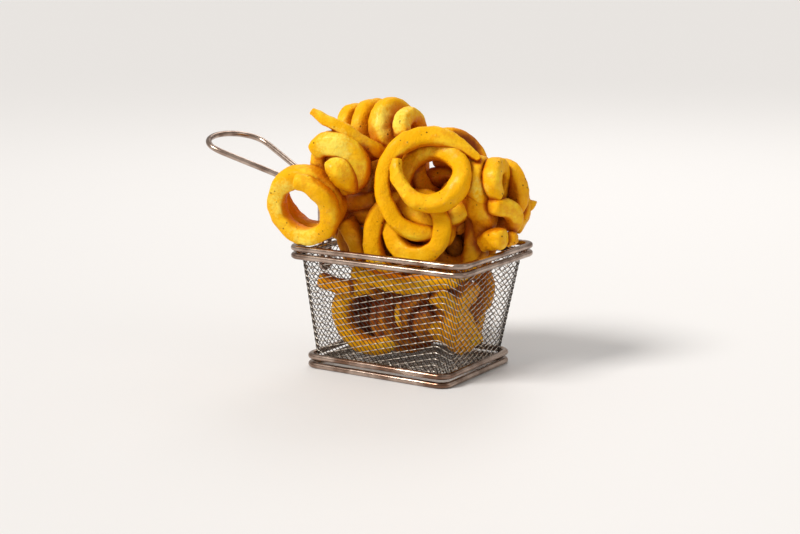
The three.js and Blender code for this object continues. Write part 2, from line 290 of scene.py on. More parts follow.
def fried_potato():
    finish = Finish("fried_potato", IOR=1.45, Specular_IOR_Level=0.1, Coat_Roughness=0.2)
    golden = rgb(248, 180, 4)
    pale = rgb(255, 212, 44)
    # This cream is painted highlight, and also the colour of pale flecks
    highlight_cream = rgb(255, 232, 96)
    orange = rgb(236, 150, 4)
    shade_orange = rgb(220, 126, 2)
    # This brown is painted shade in the crevices between fries and where other fries cover a surface
    crevice_shade_brown = rgb(176, 80, 4)
    # This brown paints browned crust and also painted shade on covered surfaces and on the fries inside the
    # heap
    crust_and_shade_brown = rgb(120, 52, 10)
    speck_brown = rgb(64, 30, 10)
    broad = finish.noise(70, detail=3)
    fine = finish.noise(260, detail=4, roughness=0.55, seed=3.0)
    grit = finish.noise(750, detail=4, roughness=0.65, seed=7.0)
    crevice = finish.attribute("crevice")
    covered = finish.attribute("covered")
    crust = finish.attribute("crust")
    light = finish.attribute("light")
    # Golden batter with paler and more orange patches, pale flecks and painted highlight in cream on the
    # lit patches
    colour = finish.mix(broad.ramp(0.46, 0.7), golden, pale)
    colour = finish.mix((fine * 0.6 + broad * 0.4).ramp(0.48, 0.65) * 0.65, colour, orange)
    colour = finish.mix(grit.ramp(0.58, 0.72) * 0.45, colour, shade_orange)
    flecks_and_highlight = (light * 0.7 + (grit + fine - 1.0) * 1.1).ramp(0.1, 0.75)
    colour = finish.mix(flecks_and_highlight * 0.85, colour, highlight_cream)
    # Painted shade: darker orange and brown between the fries and where other fries cover what a surface
    # faces
    uneven = fine - 0.5
    colour = finish.mix((covered + uneven * 0.25).ramp(0.4, 1.05), colour, shade_orange)
    painted_crevice_shade = (crevice * 0.65 + covered * 0.6 + uneven * 0.3).ramp(0.65, 1.25)
    colour = finish.mix(painted_crevice_shade, colour, crevice_shade_brown)
    # Browned patches and pieces, together with painted shade: covered surfaces and the fries deep in the
    # heap are made browner
    colour = finish.mix((crust + uneven * 0.5).ramp(0.0, 0.9) * 0.85, colour, shade_orange)
    browned_and_shaded = (crust * 0.7 + covered * 0.35 + uneven * 0.5).ramp(0.45, 0.95)
    colour = finish.mix(browned_and_shaded, colour, crust_and_shade_brown)
    # Specks of seasoning
    spots = finish.node("TexVoronoi", None, {"Vector": finish.place(), "Scale": 290.0})
    speck = 1.0 - spots.ramp(0.06, 0.2)
    rare = finish.noise(160, seed=11.0).ramp(0.5, 0.58)
    colour = finish.mix(speck * rare * 0.85, colour, speck_brown)
    finish.set(Base_Color=colour, Roughness=fine * 0.3 + 0.36)
    finish.set(Coat_Weight=broad.ramp(0.35, 0.65) * 0.16)
    finish.set(Normal=finish.bump(fine * 0.5 + grit * 0.5, distance=0.0016, strength=0.8))
    return finish.material


def steel_wire():
    finish = Finish("steel_wire", Metallic=1.0)
    warm = rgb(190, 170, 156)
    dull = rgb(116, 88, 72)
    broad = finish.noise(90, detail=3)
    grain = finish.noise(900, detail=4, roughness=0.65, seed=2.0)
    finish.set(Base_Color=finish.mix(broad.ramp(0.35, 0.7), warm, dull))
    finish.set(Roughness=grain * 0.12 + 0.16)
    finish.set(Normal=finish.bump(grain, distance=0.00005, strength=0.2))
    return finish.material


def steel_mesh():
    finish = Finish("steel_mesh", Metallic=1.0)
    grain = finish.noise(700, detail=3)
    uneven = grain.ramp(0.3, 0.7)
    # Painted reflection: a pale, lit copy of the steel and a dark, shaded copy, picked for each wire by its
    # stored value
    lit_wire = finish.mix(uneven, rgb(236, 228, 216), rgb(190, 180, 168))
    dull = finish.mix(uneven, rgb(104, 96, 88), rgb(66, 60, 56))
    finish.set(Base_Color=finish.mix(finish.attribute("dull"), lit_wire, dull))
    finish.set(Roughness=grain * 0.2 + 0.22)
    return finish.material


SLOT_FINISH = {"fried_potato": fried_potato(), "steel_wire": steel_wire(), "steel_mesh": steel_mesh()}


def finished(piece, slot, *nodes):
    """Gives a piece its finish, hangs it on the root body and hides the parts of the model that it stands
    for.
    """
    piece.data.materials.clear()
    piece.data.materials.append(SLOT_FINISH[slot])
    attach(piece, "root")
    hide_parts(*nodes)


# Rims and handle
def rim_run(long, short, height, lean_x, lean_y):
    """Points round a rim, a rectangle with round corners."""
    run = []
    for corner in range(4):
        sign_x = 1 if corner in (0, 3) else -1
        sign_y = 1 if corner < 2 else -1
        for step in range(CORNER_STEPS + 1):
            angle = (corner + step / CORNER_STEPS) * TAU / 4
            x = sign_x * (long / 2 - CORNER_RADIUS) + CORNER_RADIUS * math.cos(angle)
            y = sign_y * (short / 2 - CORNER_RADIUS) + CORNER_RADIUS * math.sin(angle)
            run.append(place(x + lean_x, y + lean_y, height))
    return run


def make_rims():
    for name, height in RIM_HEIGHTS.items():
        if name.startswith("top"):
            run = rim_run(TOP_LONG, TOP_SHORT, height, LEAN_X, LEAN_Y)
        else:
            run = rim_run(BASE_LONG, BASE_SHORT, height, 0, 0)
        rim = round_wire("wire_rim_" + name, [run], WIRE, closed=True)
        finished(rim, "steel_wire", "rim_" + name)


def handle_half():
    """Half of the handle, from the small bend at its foot to the middle of its tip, as (x, y, z)."""
    half = HANDLE_SPREAD / 2
    wall_x = LEAN_X - TOP_LONG / 2 - WIRE - GAP
    out_x, out_z = -math.cos(HANDLE_TILT), math.sin(HANDLE_TILT)
    points = [(wall_x, 0.0, HANDLE_FOOT - half)]
    for i in range(1, FOOT_STEPS + 1):
        angle = i / FOOT_STEPS * TAU / 4
        points.append((wall_x, half * math.sin(angle), HANDLE_FOOT - half * math.cos(angle)))
    for i in range(BEND_STEPS + 1):
        # A quadratic bend between the riser and the leg
        t = i / BEND_STEPS
        before, after = (1 - t) ** 2 * BEND_RADIUS, t ** 2 * BEND_RADIUS
        points.append((wall_x + after * out_x, half, HANDLE_BEND - before + after * out_z))
    centre = HANDLE_REACH - TIP_RADIUS * TIP_FLATNESS
    distance = math.hypot(centre, half)
    touch = math.pi - math.atan2(half, centre) - math.acos(TIP_RADIUS / distance)
    for i in range(TIP_STEPS + 1):
        angle = touch * (1 - i / TIP_STEPS)
        flat = TIP_FLATNESS if math.cos(angle) > 0 else 1.0
        reach = centre + TIP_RADIUS * math.cos(angle) * flat
        aside = TIP_RADIUS * math.sin(angle)
        points.append((wall_x + reach * out_x, aside, HANDLE_BEND + reach * out_z))
    return points


def make_handle():
    half = handle_half()
    other = [(x, -y, z) for x, y, z in reversed(half[1:-1])]
    run = [place(x, y + LEAN_Y, z) for x, y, z in half + other]
    finished(round_wire("wire_handle", [run], WIRE, closed=True), "steel_wire", "handle")


# Woven walls
class Wall:
    """The mesh wall wrapped round the basket. s runs round it at half height, from the end of the back left
    corner over the left side, front, right side and back, and z is the height."""

    def __init__(self):
        half_long, half_short, _, _ = self.halves((WALL_FOOT + WALL_TOP) / 2)
        straight_long = 2 * (half_long - WALL_CORNER)
        straight_short = 2 * (half_short - WALL_CORNER)
        corner = WALL_CORNER * TAU / 4
        self.lengths = [straight_short, corner, straight_long, corner] * 2
        self.starts = np.concatenate([[0], np.cumsum(self.lengths)])
        self.round = float(self.starts[-1])

    def halves(self, z):
        """Half the wall's length and width at a height, and how far its middle is off the base's middle."""
        k = (z - WALL_FOOT) / (WALL_TOP - WALL_FOOT)
        inset = WALL_INSET_TOP - WALL_INSET_BASE
        long = BASE_LONG / 2 - WALL_INSET_BASE + k * ((TOP_LONG - BASE_LONG) / 2 - inset)
        short = BASE_SHORT / 2 - WALL_INSET_BASE + k * ((TOP_SHORT - BASE_SHORT) / 2 - inset)
        return long, short, k * LEAN_X, k * LEAN_Y

    def point(self, s, z, lift):
        """A place on the wall, lifted outwards."""
        long, short, lean_x, lean_y = self.halves(z)
        part = min(int(np.searchsorted(self.starts, s, side="right")) - 1, WALL_PARTS - 1)
        t = (s - self.starts[part]) / self.lengths[part]
        side = part // 2
        # Outward directions of the left side, front, right side and back, and the way s runs on each
        outward = [(-1, 0), (0, -1), (1, 0), (0, 1)][side]
        onward = [(0, -1), (1, 0), (0, 1), (-1, 0)][side]
        reach = [long, short, long, short][side]
        half_side = [short, long, short, long][side] - WALL_CORNER
        if part % 2 == 0:
            run = (2 * t - 1) * half_side
            x = outward[0] * (reach + lift) + onward[0] * run
            y = outward[1] * (reach + lift) + onward[1] * run
        else:
            angle = t * TAU / 4
            radius = WALL_CORNER + lift
            ahead = half_side + radius * math.sin(angle)
            away = reach - WALL_CORNER + radius * math.cos(angle)
            x = outward[0] * away + onward[0] * ahead
            y = outward[1] * away + onward[1] * ahead
        return place(x + lean_x, y + lean_y, z)


# How steeply the two families of wires climb on each side and over each corner, as rise over run
RISING = {"left": 0.4, "front": 0.26, "right": 0.4, "back": 0.26, "corner": -0.6}
FALLING = {"left": -0.78, "front": -1.0, "right": -0.78, "back": -1.0, "corner": -2.2}
SIDES = ("left", "front", "right", "back")


def climb(wall, slopes, grid):
    """Height that one family gains along s, and its pitch, which fits the wall's round in whole steps."""
    slope = np.zeros_like(grid)
    for part in range(WALL_PARTS):
        name = "corner" if part % 2 else SIDES[part // 2]
        slope[(grid >= wall.starts[part]) & (grid <= wall.starts[part + 1])] = slopes[name]
    blur = np.hanning(CORNER_BLEND)
    around = np.concatenate([slope[-CORNER_BLEND:], slope, slope[:CORNER_BLEND]])
    slope = np.convolve(around, blur / blur.sum(), mode="same")[CORNER_BLEND:-CORNER_BLEND]
    rise = np.concatenate([[0], np.cumsum((slope[1:] + slope[:-1]) / 2 * np.diff(grid))])
    count = max(1, round(abs(rise[-1]) / WEAVE_PITCH))
    return rise, abs(rise[-1]) / count


def weave_walls():
    wall = Wall()
    grid = np.linspace(0, wall.round, WALL_STEPS)
    rising, pitch_a = climb(wall, RISING, grid)
    falling, pitch_b = climb(wall, FALLING, grid)
    families = {
        "woven_rising": (rising, pitch_a, falling, pitch_b, 1, RISING_SHADE),
        "woven_falling": (falling, pitch_b, rising, pitch_a, -1, FALLING_SHADE),
    }
    for name, (own, own_pitch, other, other_pitch, over, dull) in families.items():
        runs = []
        first = math.floor((WALL_FOOT - own.max()) / own_pitch)
        last = math.ceil((WALL_TOP - own.min()) / own_pitch)
        for index in range(first, last + 1):
            height = index * own_pitch + own
            # The wire is set over and under the other family in turn, at whole crossings and halfway
            crossing = (height - other) / other_pitch
            order = 1 if crossing[-1] > crossing[0] else -1
            low, high = sorted((crossing[0], crossing[-1]))
            halves = np.arange(math.ceil(2 * low), math.floor(2 * high) + 1) / 2
            spots = np.interp(halves, crossing[::order], grid[::order])
            heights = np.interp(spots, grid, height)
            run = []
            for s, z, n in zip(spots, heights, halves):
                if WALL_FOOT <= z <= WALL_TOP:
                    lift = over * WEAVE_WIRE / 2 * math.cos(math.pi * (index + n))
                    run.append(wall.point(s, z, lift))
                else:
                    # The wire passes the wall's edge here, and may come back further on.
                    runs.append(run)
                    run = []
            runs.append(run)
        runs = [run for run in runs if len(run) > 1]
        piece = round_wire(name, runs, WEAVE_WIRE, resolution=WEAVE_ROUNDING)
        # Each family of wires gets its painted shade
        store(piece, "dull", np.full(len(piece.data.vertices), dull))
        finished(piece, "steel_mesh", "mesh_front", "mesh_back", "mesh_left", "mesh_right")


def weave_floor():
    long = BASE_LONG / 2 - WALL_INSET_BASE
    short = BASE_SHORT / 2 - WALL_INSET_BASE
    runs = []
    for half_own, half_other, over, turned in ((long, short, 1, False), (short, long, -1, True)):
        count = int(half_other / WEAVE_PITCH)
        reach = int(half_own / WEAVE_PITCH * 2)
        for j in range(-count, count + 1):
            across = j * WEAVE_PITCH
            run = []
            for i in range(-reach, reach + 1):
                lift = over * WEAVE_WIRE / 2 * math.cos(math.pi * (i / 2 + j))
                spot = (i / 2 * WEAVE_PITCH, across)
                x, y = reversed(spot) if turned else spot
                beyond_x = max(abs(x) - long + WALL_CORNER, 0)
                beyond_y = max(abs(y) - short + WALL_CORNER, 0)
                if math.hypot(beyond_x, beyond_y) <= WALL_CORNER:
                    run.append(place(x, y, FLOOR_HEIGHT + lift))
            runs.append(run)
    piece = round_wire("woven_floor", runs, WEAVE_WIRE, resolution=WEAVE_ROUNDING)
    store(piece, "dull", np.full(len(piece.data.vertices), FLOOR_SHADE))
    finished(piece, "steel_mesh", "mesh_floor")


# Curls
# Each winds round an axis, which points towards its first turn and has a heading and a pitch in degrees.
# lead is how far it moves along the axis in a turn, phase is where it starts round it and hand is the way
# it winds. Its radii and half thicknesses are spread evenly along it, and its brown value is how browned it
# is, together with painted shade on the curls deep in the heap.
CURL = {"pitch": 0, "lead": 9.5, "hand": 1, "halves": [5.2, 5.2], "brown_and_shade": 0.0}
HIDDEN = ("sunk", "inside", "back", "handle_side", "fill")  # how the names of curls that hardly show begin
CURLS = {
    "left_ring": {
        "place": (-39.5, -34.6, 87.5), "heading": -79, "pitch": -16,
        "radii": [17, 16.6, 16.4, 15.8, 15, 16.4, 16.8, 16.4], "turns": 1.75, "lead": 10.4, "phase": 84,
        "hand": -1, "halves": [4.8, 5.2, 5, 5.2, 6.4, 4.4, 3.8, 3.4],
    },
    "outer_band": {
        "place": (21.3, -12.9, 98.6), "heading": -52, "pitch": 18,
        "radii": [28, 24.6, 24.8, 24.7, 23.8, 23.2, 22.9, 24, 24, 23.5], "turns": 0.75, "lead": 17,
        "phase": 25, "halves": [2.8, 4.2, 5.7, 5.6, 5, 4.6, 4.5, 4.6, 4.6, 4.2],
    },
    "inner_ring": {
        "place": (22.1, -8.3, 99.6), "heading": -77, "pitch": 24,
        "radii": [17, 12.8, 13.7, 14.8, 16.8, 16.2, 17, 18.5, 18.5, 18, 17.5, 17, 17], "turns": 1.87,
        "lead": 17, "phase": 156, "halves": [3.2, 5, 5.2, 5.2, 5.2, 5.2],
    },
    "wide_ring": {
        "place": (14, -8.5, 70.5), "heading": -61, "pitch": 6, "radii": [24.5, 25, 27.5, 28],
        "turns": 0.86, "lead": 8, "phase": 115,
    },
    "small_ring": {
        "place": (15.8, -13.5, 77.2), "heading": -79, "pitch": 10, "radii": [14.4, 14.4], "turns": 1.2,
        "lead": 6, "phase": 40, "hand": -1,
    },
    "top_coil": {
        "place": (-12.7, 1.2, 123), "heading": -15, "pitch": 6, "radii": [7, 8, 11, 12, 12, 11.5, 11],
        "turns": 3.7, "lead": 13.6, "phase": 290, "hand": -1, "halves": [4.2, 4.8, 6.5, 5.6, 5, 5],
    },
    "knot": {
        "place": (-21.5, -28.5, 108), "heading": -77, "pitch": -8,
        "radii": [14.2, 12.2, 11.4, 11.4, 10.8, 13, 13], "turns": 1.12, "lead": 9, "phase": 140,
        "hand": -1, "halves": [6.6, 7, 6.2, 5.4, 5, 5, 4.6],
    },
    "behind_spiral": {
        "place": (18.1, 9.5, 104.8), "heading": -45, "pitch": 10, "radii": [15.4, 15.4], "turns": 1.3,
        "phase": -60,
    },
    "right_coil": {
        "place": (43.4, 8.2, 98.6), "heading": 2, "pitch": 4, "radii": [8, 9.6, 10, 10], "turns": 1.9,
        "lead": 9.6, "phase": 222, "hand": -1, "halves": [4.8, 5, 5],
    },
    "right_ring": {
        "place": (43, 24, 92.5), "heading": -101, "radii": [12.6, 12.6], "turns": 1.25, "lead": 8,
        "phase": 200, "halves": [4.8, 4.8],
    },
    "sunk_ring": {
        "place": (-16.5, -8.5, 66.5), "heading": -87, "radii": [14, 14], "turns": 1.3, "lead": 9,
        "phase": 30, "brown_and_shade": 0.55,
    },
    "inside_front": {
        "place": (-12, -17, 28.5), "heading": -90, "radii": [17, 16.5], "turns": 0.9, "lead": 9,
        "phase": 75, "brown_and_shade": 0.3,
    },
    "inside_right": {
        "place": (31.5, 2, 30), "heading": 0, "radii": [14, 14], "turns": 1.4, "lead": 9, "phase": 80,
        "brown_and_shade": 0.5,
    },
    "back_left": {
        "place": (-27, 15.5, 81), "heading": 93, "pitch": 10, "radii": [14, 14], "turns": 1.6,
        "phase": 20,
    },
    "back_middle": {
        "place": (4, 16, 81), "heading": 107, "pitch": 15, "radii": [15, 15], "turns": 1.8,
        "phase": 100,
    },
    "back_right": {
        "place": (31, 17, 78.5), "heading": 120, "pitch": 10, "radii": [13, 13.5], "turns": 1.6,
        "phase": 200, "hand": -1,
    },
    "back_high_left": {
        "place": (-14, 13, 100), "heading": 103, "pitch": 35, "radii": [9, 12, 12.5], "turns": 2.2,
        "lead": 10, "phase": 10,
    },
    "back_high_right": {
        "place": (15, 17, 91), "heading": 128, "pitch": 35, "radii": [12, 12], "turns": 1.6,
        "phase": 140,
    },
    "handle_side": {
        "place": (-36, 0, 80), "heading": -172, "pitch": 5, "radii": [12.5, 12.5], "turns": 1.7,
        "lead": 9, "phase": 140, "hand": -1,
    },
    "inside_back": {
        "place": (-8, 14, 32), "heading": 108, "radii": [16, 16], "turns": 1.3, "lead": 9, "phase": 40,
        "brown_and_shade": 0.6,
    },
    "inside_back_right": {
        "place": (24, 14, 42), "heading": 123, "radii": [13, 13], "turns": 1.4, "lead": 9, "phase": 240,
        "brown_and_shade": 0.6,
    },
    "fill_left": {
        "place": (-17, -1, 31), "heading": -75, "radii": [6, 10, 12], "turns": 1.8, "lead": 9,
        "phase": 200, "brown_and_shade": 1.0,
    },
    "fill_low": {
        "place": (4, -7, 29), "heading": -50, "pitch": 20, "radii": [9, 14, 15], "turns": 2.2,
        "lead": 9, "phase": 10, "brown_and_shade": 1.0,
    },
    "fill_low_right": {
        "place": (21, -9, 33), "heading": -35, "pitch": -25, "radii": [8, 12, 12], "turns": 1.9,
        "lead": 9, "phase": 130, "brown_and_shade": 1.0,
    },
    "fill_middle": {
        "place": (-6, -4, 56), "heading": -80, "pitch": 30, "radii": [10, 17, 18], "turns": 2.1,
        "lead": 10, "phase": 200, "brown_and_shade": 0.7,
    },
    "fill_middle_right": {
        "place": (26, 6, 66), "heading": -70, "pitch": 15, "radii": [9, 14, 15], "turns": 2, "lead": 10,
        "phase": 60, "brown_and_shade": 0.6,
    },
    "fill_knot": {
        "place": (-25, -22, 106.5), "heading": -77, "radii": [2, 6, 8], "turns": 1.3, "lead": 8,
        "phase": 0, "brown_and_shade": 0.35,
    },
    "fill_high": {
        "place": (-7, -3, 94), "heading": -80, "pitch": 5, "radii": [9, 14, 15], "turns": 2, "lead": 10,
        "phase": 300, "brown_and_shade": 0.5,
    },
}

# Short cut pieces, as strands through a few places, with the half thickness at each and how brown they are,
# which also paints shade on the pieces inside the basket
STRANDS = {
    "thin_strand": (
        [
            (-32, -37.6, 136), (-22.1, -34.3, 130.2), (-14.2, -30.3, 125.2), (-7.9, -23.2, 118.7),
            (-3.6, -14.3, 113.4),
        ],
        [2, 3.1, 3.4, 3.4, 3.4], 0.0,
    ),
    "knot_tongue": (
        [(-14, -27.4, 97.8), (-15, -32.2, 102.4), (-17.4, -36, 107), (-22, -35.6, 108.6)],
        [4.8, 6.2, 6.8, 4.8], 0.1,
    ),
    "pointed_tip": (
        [(46.2, 26.8, 86.3), (50.6, 29.6, 84.4), (54.9, 32.5, 85.4), (57.9, 34.4, 87)],
        [5, 4.6, 3.2, 0.8], 0.1,
    ),
    "tip_band": (
        [(50.1, 29.3, 91), (51.8, 30.5, 84.7), (51.1, 28.8, 79.1), (49.5, 25.3, 73.7)],
        [4.2, 4.6, 4.6, 4.4], 0.3,
    ),
    "rim_piece": (
        [
            (52.2, -0.5, 88.6), (53.7, 4.5, 88.2), (56.1, 9.6, 85.8), (56.8, 12.6, 80.8),
            (55, 13.4, 75.5),
        ],
        [4.4, 4.9, 5.1, 4.5, 3.4], 0.2,
    ),
    "low_rim_piece": ([(45.2, 2.1, 69.6), (51.3, 0.8, 72), (56.8, 0.2, 72.6)], [5, 5.8, 5.2], 0.15),
    "low_gap": ([(17.3, 6.6, 74.8), (22.7, 7.7, 67.7), (25.8, 8.5, 58.4)], [4.6, 5.2, 5], 0.5),
    "left_gap": (
        [(-24.2, -20.7, 77.4), (-19.3, -19.8, 69.3), (-16.7, -19.3, 58.9)],
        [4.6, 5.2, 5], 0.45,
    ),
    "rim_chunk": ([(55, 8.5, 70.6), (57.5, 8.6, 71.6), (60, 9, 72)], [3.4, 3.8, 3.4], 0.4),
    "right_piece": (
        [(36.9, 0.3, 92.9), (41.7, 1.1, 88), (43.6, 4.7, 81.5), (42.1, 7.3, 70.6)],
        [5.4, 6.6, 6, 5], 0.35,
    ),
    "between_rings": (
        [(-31.5, -11, 84.3), (-22.3, -12.3, 85.8), (-12.7, -10.7, 88.4)],
        [5, 5, 5], 0.25,
    ),
    "inside_band": (
        [
            (-14.5, -27, 53.6), (-1.8, -25, 50.4), (12.4, -22.8, 48.7), (25.9, -18.4, 49.7),
            (37.5, -13.4, 52.6),
        ],
        [4.2, 4.4, 4.2, 4.2, 4.0], 0.25,
    ),
    "inside_left": (
        [(-37, -25.4, 46.6), (-27.6, -25.4, 44.4), (-18.3, -25, 44.1)],
        [4.4, 4.4, 4.4], 0.55,
    ),
    "inside_slant": (
        [(29.5, -18.5, 44.1), (34.5, -12.5, 37.2), (37, -4.6, 28.6), (36.6, 5, 17.1)],
        [5.2, 5.2, 5.2, 5], 0.35,
    ),
    "inside_slant_low": (
        [(21.5, -17, 31.1), (27.9, -12.8, 25.8), (31.2, -5.2, 19.5), (32, 3.1, 14)],
        [4.8, 5.2, 5.2, 5], 0.45,
    ),
}

# Patches made browner, and patches of painted highlight, as places, reaches and depths
BROWN_PATCHES = [
    ((30, 10, 118), 13, 1.3), ((26, -10, 66), 9, 1.0), ((-4, -6, 121), 6, 1.0),
    ((48, 18, 90), 22, 0.5), ((52, 24, 98), 7, 0.7),
]
PAINTED_HIGHLIGHT_PATCHES = [
    ((-45, -50, 88), 17, 1.0), ((-38, -42, 70), 12, 0.8), ((-19, -38, 119), 12, 1.0),
    ((-1, -12, 130), 14, 1.0), ((-20, -18, 131), 8, 0.8), ((46, -4, 98), 8, 0.6),
]

# The buried middle of the heap, as three ellipsoids, painted in the darkest shade
CORES = {
    "low_core": ((0, 2, 48), (25, 15, 30)),
    "left_core": ((-24, 1, 25), (12, 10, 13)),
    "high_core": ((-7, 1, 94), (14, 12, 16)),
}


def section():
    """The rounded square cross-section of a fry, about a millimetre from its middle to each side, so that
    the radius of a point of its curve is the half thickness there in millimetres."""
    run = []
    for i in range(SECTION_SIDES):
        angle = TAU * (i + 0.5) / SECTION_SIDES
        round_spot = (math.cos(angle), math.sin(angle))
        corner = [math.copysign(abs(v) ** (2 / SECTION_POWER), v) for v in round_spot]
        run.append(Vector((*corner, 0.0)) * MM * SECTION_FIT)
    obj = new_curve("section", [run], closed=True)
    obj.data.dimensions = "2D"
    return obj


def lump_texture(name, size):
    texture = bpy.data.textures.new(name, "CLOUDS")
    texture.noise_scale = size * MM
    texture.noise_depth = LUMP_DETAIL
    texture.noise_basis = "ORIGINAL_PERLIN"
    return texture


SECTION = section()
LUMPS = lump_texture("lumps", LUMP_SIZE)
DIMPLES = lump_texture("dimples", DIMPLE_SIZE)
# How brown each fry is also paints shade on the fries deep in the heap
FRIES = []  # each fry with how brown it is
SPINES = []  # (place, half thickness, fry number, ring number) of every ring, for the crevices


def drift(dice, count, step, size):
    """Smooth wandering values along a fry, one for each of its rings."""
    knots = [dice.uniform(-size, size) for _ in range(count // step + 3)]
    values = []
    for i in range(count):
        s = i / step
        k = int(s)
        values.append(knots[k] + (knots[k + 1] - knots[k]) * smooth_step(s - k))
    return values


def worn_end(points, halves):
    """Two narrower rings beyond the last one, so that the cut end has worn edges."""
    away = (points[-1] - points[-2]).normalized()
    rings = [(points[-1] + away * reach * halves[-1], width * halves[-1]) for reach, width in END_WEAR]
    return points + [spot for spot, _ in rings], halves + [half for _, half in rings]


def fry(name, points, halves, frame_of, twist, brown_and_shade):
    """A fry along points, which are in its own frame in millimetres, turned into place by frame_of."""
    dice = random.Random(name)
    for _ in range(2):
        # Each pass turns the fry round and wears one end.
        points, halves = worn_end(points[::-1], halves[::-1])
    obj = new_curve(name, [[p * MM for p in points]])
    wander = drift(dice, len(points), *THICKNESS_DRIFT)
    turning = drift(dice, len(points), *TURN_DRIFT)
    for i, point in enumerate(obj.data.splines[0].points):
        point.radius = halves[i] * (1 + wander[i])
        point.tilt = turning[i]
    obj.data.twist_mode = twist
    obj.data.bevel_mode = "OBJECT"
    obj.data.bevel_object = SECTION
    obj.data.use_fill_caps = True
    only(obj)
    bpy.ops.object.convert(target="MESH")
    piece = bpy.context.object
    piece.data.transform(frame_of)
    weld(piece)
    smooth = piece.modifiers.new("smooth", "SUBSURF")
    smooth.levels = smooth.render_levels = 1
    for texture, strength in ((LUMPS, LUMP_HEIGHT), (DIMPLES, DIMPLE_HEIGHT)):
        lumps = piece.modifiers.new(texture.name, "DISPLACE")
        lumps.texture = texture
        lumps.texture_coords = "LOCAL"
        lumps.strength = strength * MM
        lumps.mid_level = 0.5
    apply_modifiers(piece)
    bpy.ops.object.shade_smooth()
    number = len(FRIES)
    for i, p in enumerate(points):
        SPINES.append((frame_of @ (p * MM), halves[i] * MM, number, i))
    FRIES.append((piece, brown_and_shade))


def curl(name, given):
    """A curl from its entry in CURLS."""
    c = {**CURL, **given}
    heading, pitch = math.radians(c["heading"]), math.radians(c["pitch"])
    level = math.cos(pitch)
    axis = Vector((math.cos(heading) * level, math.sin(heading) * level, math.sin(pitch)))
    side = Vector((-math.sin(heading), math.cos(heading), 0.0))
    rise = axis.cross(side)
    frame_of = Matrix((side, rise, axis)).transposed().to_4x4()
    frame_of.translation = place(*c["place"])
    steps = round(c["turns"] * RINGS_PER_TURN)
    points = []
    for i in range(steps + 1):
        t = i / steps
        angle = math.radians(c["phase"]) + c["hand"] * TAU * c["turns"] * t
        radius = along(c["radii"], t)
        depth = (0.5 - t) * c["lead"] * c["turns"]
        points.append(Vector((radius * math.cos(angle), radius * math.sin(angle), depth)))
    fry(name, points, end_halves(points, c["halves"]), frame_of, "Z_UP", c["brown_and_shade"])


def narrowing(distance):
    """Share of its thickness that a curl has at a distance from its cut end."""
    return END_WIDTH + (1 - END_WIDTH) * min(1.0, distance / END_LENGTH)


def end_halves(points, halves):
    """Half thickness along a curl, which narrows towards its cut ends."""
    far = [0.0]
    for a, b in zip(points, points[1:]):
        far.append(far[-1] + (b - a).length)
    return [along(halves, d / far[-1]) * narrowing(d) * narrowing(far[-1] - d) for d in far]


def strand(name, via, halves, brown_and_shade):
    """A smooth strand through a few places, by a Catmull-Rom spline."""
    spots = [Vector(v) for v in via]
    ends = [2 * spots[0] - spots[1], *spots, 2 * spots[-1] - spots[-2]]
    points = []
    for i in range(len(spots) - 1):
        a, b, c, d = ends[i:i + 4]
        slope = c - a
        square = 2 * a - 5 * b + 4 * c - d
        cube = 3 * b - a - 3 * c + d
        for k in range(STRAND_STEPS + (i == len(spots) - 2)):
            t = k / STRAND_STEPS
            points.append(0.5 * (2 * b + slope * t + square * t ** 2 + cube * t ** 3))
    thick = [along(halves, i / (len(points) - 1)) for i in range(len(points))]
    fry(name, points, thick, Matrix.Translation(BASKET), "MINIMUM", brown_and_shade)


def core(name, middle, reach):
    """A lumpy ellipsoid in the middle of the heap."""
    bpy.ops.object.select_all(action="DESELECT")
    bpy.ops.mesh.primitive_ico_sphere_add(subdivisions=CORE_FINENESS, radius=1.0, location=(0, 0, 0))
    piece = bpy.context.object
    piece.name = name
    piece.data.transform(Matrix.Diagonal((*[r * MM for r in reach], 1.0)))
    piece.data.transform(Matrix.Translation(place(*middle)))
    lumps = piece.modifiers.new("lumps", "DISPLACE")
    lumps.texture = LUMPS
    lumps.texture_coords = "LOCAL"
    lumps.strength = CORE_LUMP_HEIGHT * MM
    apply_modifiers(piece)
    bpy.ops.object.shade_smooth()
    return piece


def patches(places, given):
    """How strongly each place lies in one of the patches given."""
    strength = np.zeros(len(places))
    for spot, reach, depth in given:
        away = np.linalg.norm(places - np.array(place(*spot)), axis=1) / (reach * MM)
        strength = np.maximum(strength, depth * (1 - np.clip(away, 0, 1) ** 2))
    return strength


